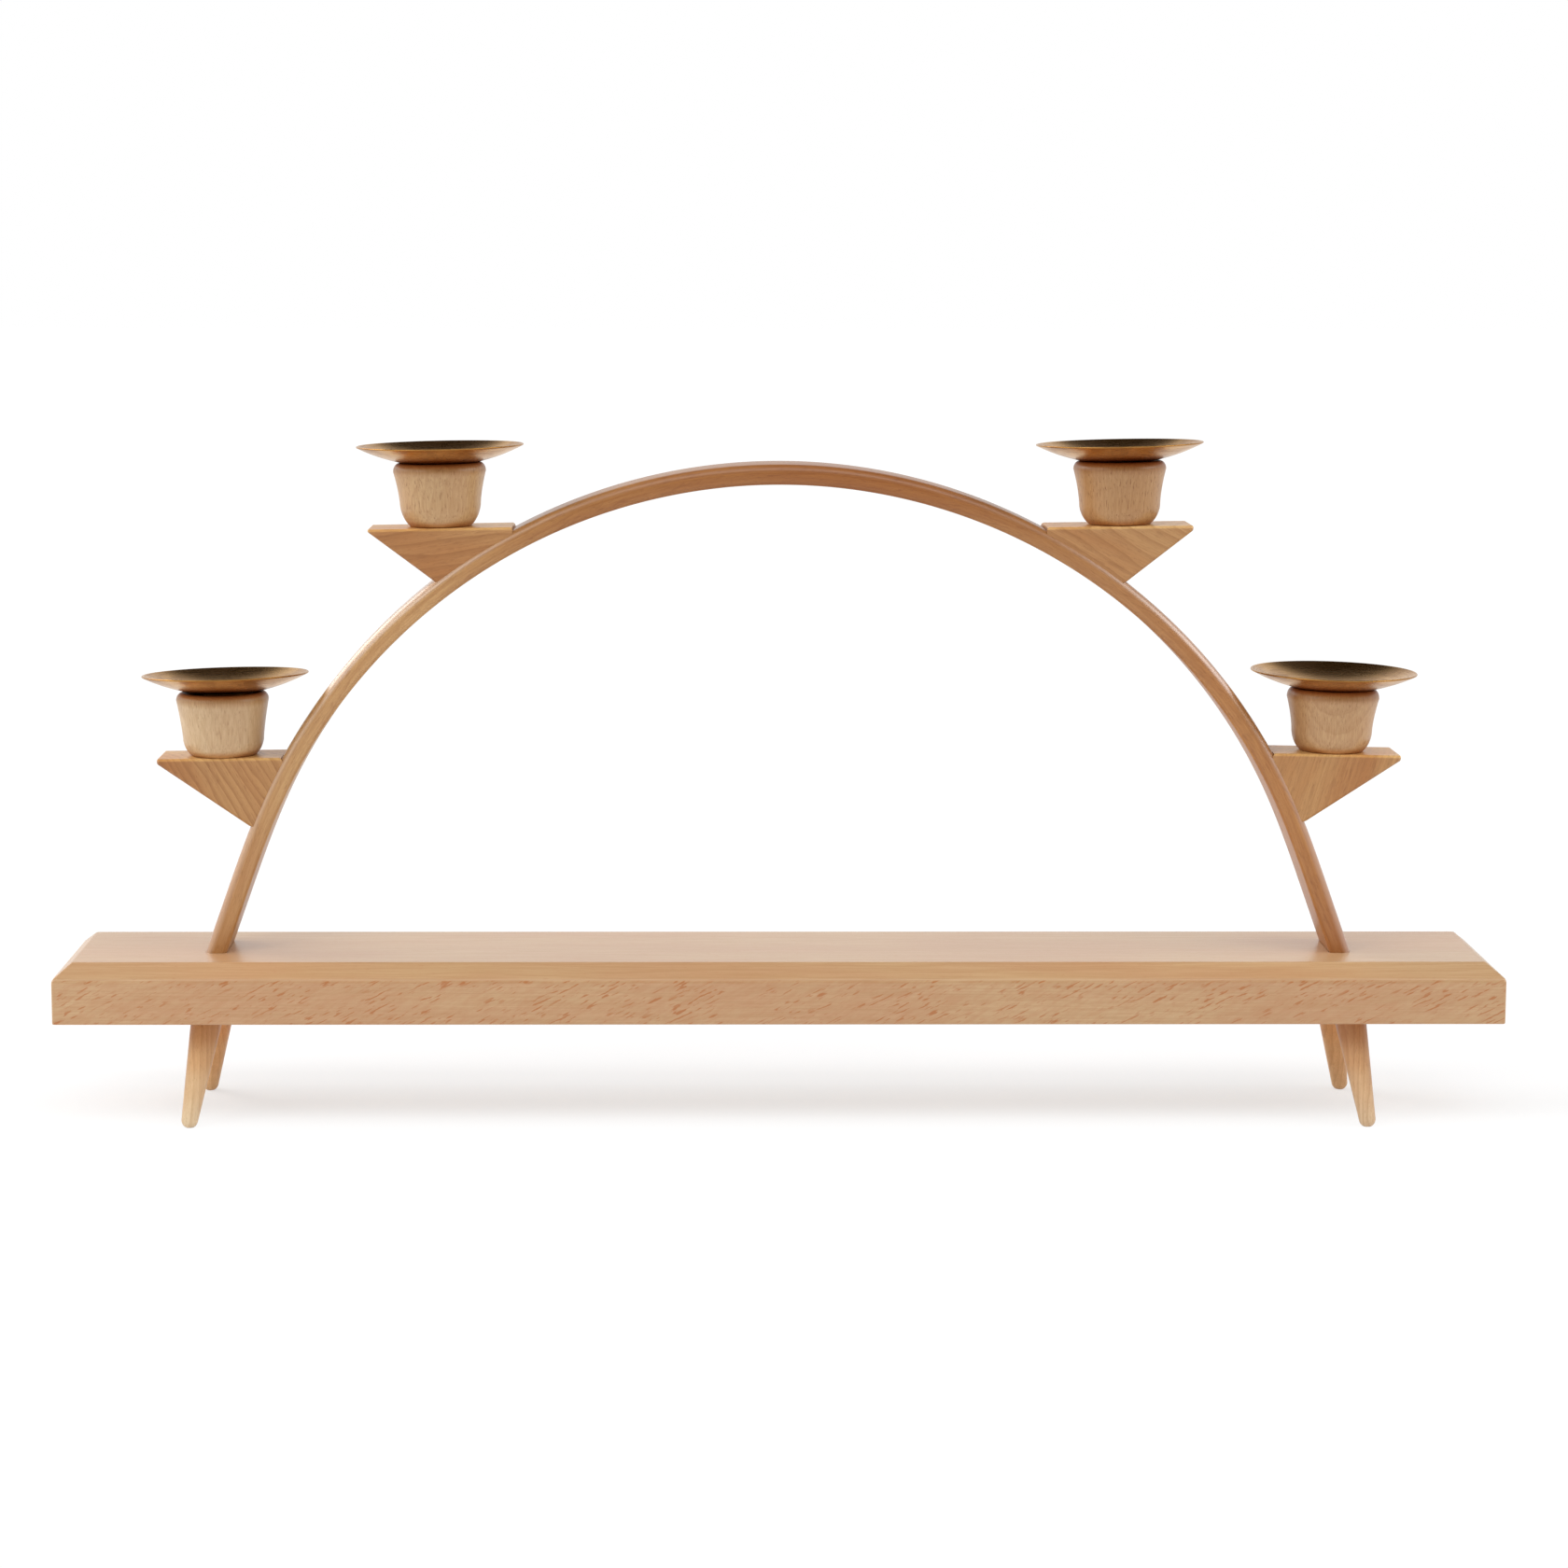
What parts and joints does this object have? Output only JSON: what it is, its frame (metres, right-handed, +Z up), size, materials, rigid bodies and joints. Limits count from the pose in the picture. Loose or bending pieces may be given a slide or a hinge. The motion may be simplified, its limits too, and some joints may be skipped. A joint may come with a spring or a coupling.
{
  "type": "candle arch",
  "caption": "Plain beech candle arch: a bent bow on a long board with splayed peg legs, wedge brackets with turned cups and loose brass drip trays",
  "frame": {"origin": "on the floor, under the middle of the board", "axes": "+X along the board to the right, +Y from front to back, +Z up; the front faces -Y"},
  "size_m": [0.4, 0.06, 0.1891],
  "materials": {
    "beech_board": "satin",
    "beech_bow": "satin",
    "beech_bracket": "satin",
    "beech_cup": "satin",
    "beech_leg": "satin",
    "tray_brass": "satin",
    "screw_steel": "zinc plated"
  },
  "bodies": {
    "arch_frame": {"base_board": "beech_board", "bow": "beech_bow", "leg_front_left": "beech_leg", "leg_front_right": "beech_leg", "leg_back_left": "beech_leg", "leg_back_right": "beech_leg", "upper_left_bracket": "beech_bracket", "upper_left_cup": "beech_cup", "upper_left_cup_screw": "screw_steel", "upper_right_bracket": "beech_bracket", "upper_right_cup": "beech_cup", "upper_right_cup_screw": "screw_steel", "lower_left_bracket": "beech_bracket", "lower_left_cup": "beech_cup", "lower_left_cup_screw": "screw_steel", "lower_right_bracket": "beech_bracket", "lower_right_cup": "beech_cup", "lower_right_cup_screw": "screw_steel"},
    "upper_left_drip_tray": {"upper_left_tray": "tray_brass", "upper_left_candle_sleeve": "tray_brass"},
    "upper_right_drip_tray": {"upper_right_tray": "tray_brass", "upper_right_candle_sleeve": "tray_brass"},
    "lower_left_drip_tray": {"lower_left_tray": "tray_brass", "lower_left_candle_sleeve": "tray_brass"},
    "lower_right_drip_tray": {"lower_right_tray": "tray_brass", "lower_right_candle_sleeve": "tray_brass"}
  },
  "joints": [
    {"name": "upper_left_tray_lift", "type": "slide", "parent": "arch_frame", "child": "upper_left_drip_tray", "axis": [0, 0, 1], "range_m": [0, 0.014]},
    {"name": "upper_right_tray_lift", "type": "slide", "parent": "arch_frame", "child": "upper_right_drip_tray", "axis": [0, 0, 1], "range_m": [0, 0.014]},
    {"name": "lower_left_tray_lift", "type": "slide", "parent": "arch_frame", "child": "lower_left_drip_tray", "axis": [0, 0, 1], "range_m": [0, 0.014]},
    {"name": "lower_right_tray_lift", "type": "slide", "parent": "arch_frame", "child": "lower_right_drip_tray", "axis": [0, 0, 1], "range_m": [0, 0.014]}
  ]
}
